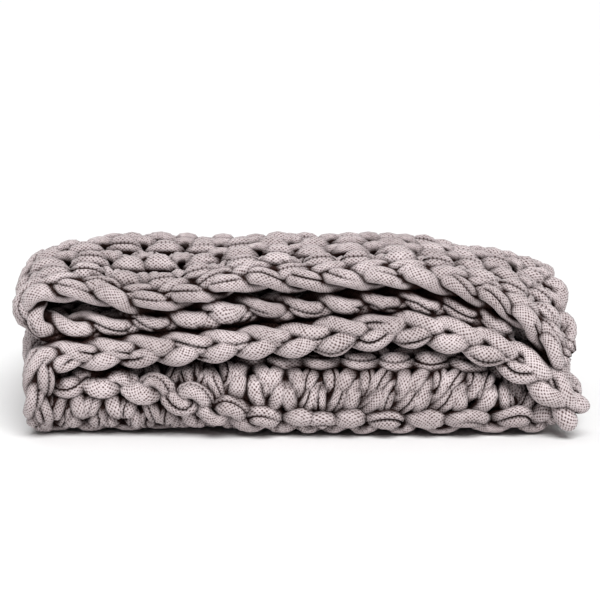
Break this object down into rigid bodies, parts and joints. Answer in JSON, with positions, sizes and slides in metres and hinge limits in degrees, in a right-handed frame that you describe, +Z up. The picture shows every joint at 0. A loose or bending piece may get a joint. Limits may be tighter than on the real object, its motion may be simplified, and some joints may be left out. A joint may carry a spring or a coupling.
{
  "type": "folded knit blanket",
  "caption": "Chunky garter-stitch knit blanket in thick cotton tube yarn, folded in quarters with its braided edges to the front and its lowest margin turned under.",
  "frame": {"origin": "middle of the footprint, at the height of the surface the blanket lies on", "axes": "+Z up, +X to the right along the knit rows and braided front edges, +Y from the braided front edges towards the fold at the back"},
  "size_m": [0.5462, 0.4298, 0.1789],
  "materials": {
    "cotton_tube_yarn": "matt knit, warm mauve grey"
  },
  "bodies": {
    "root": {"blanket": "cotton_tube_yarn"}
  },
  "joints": []
}
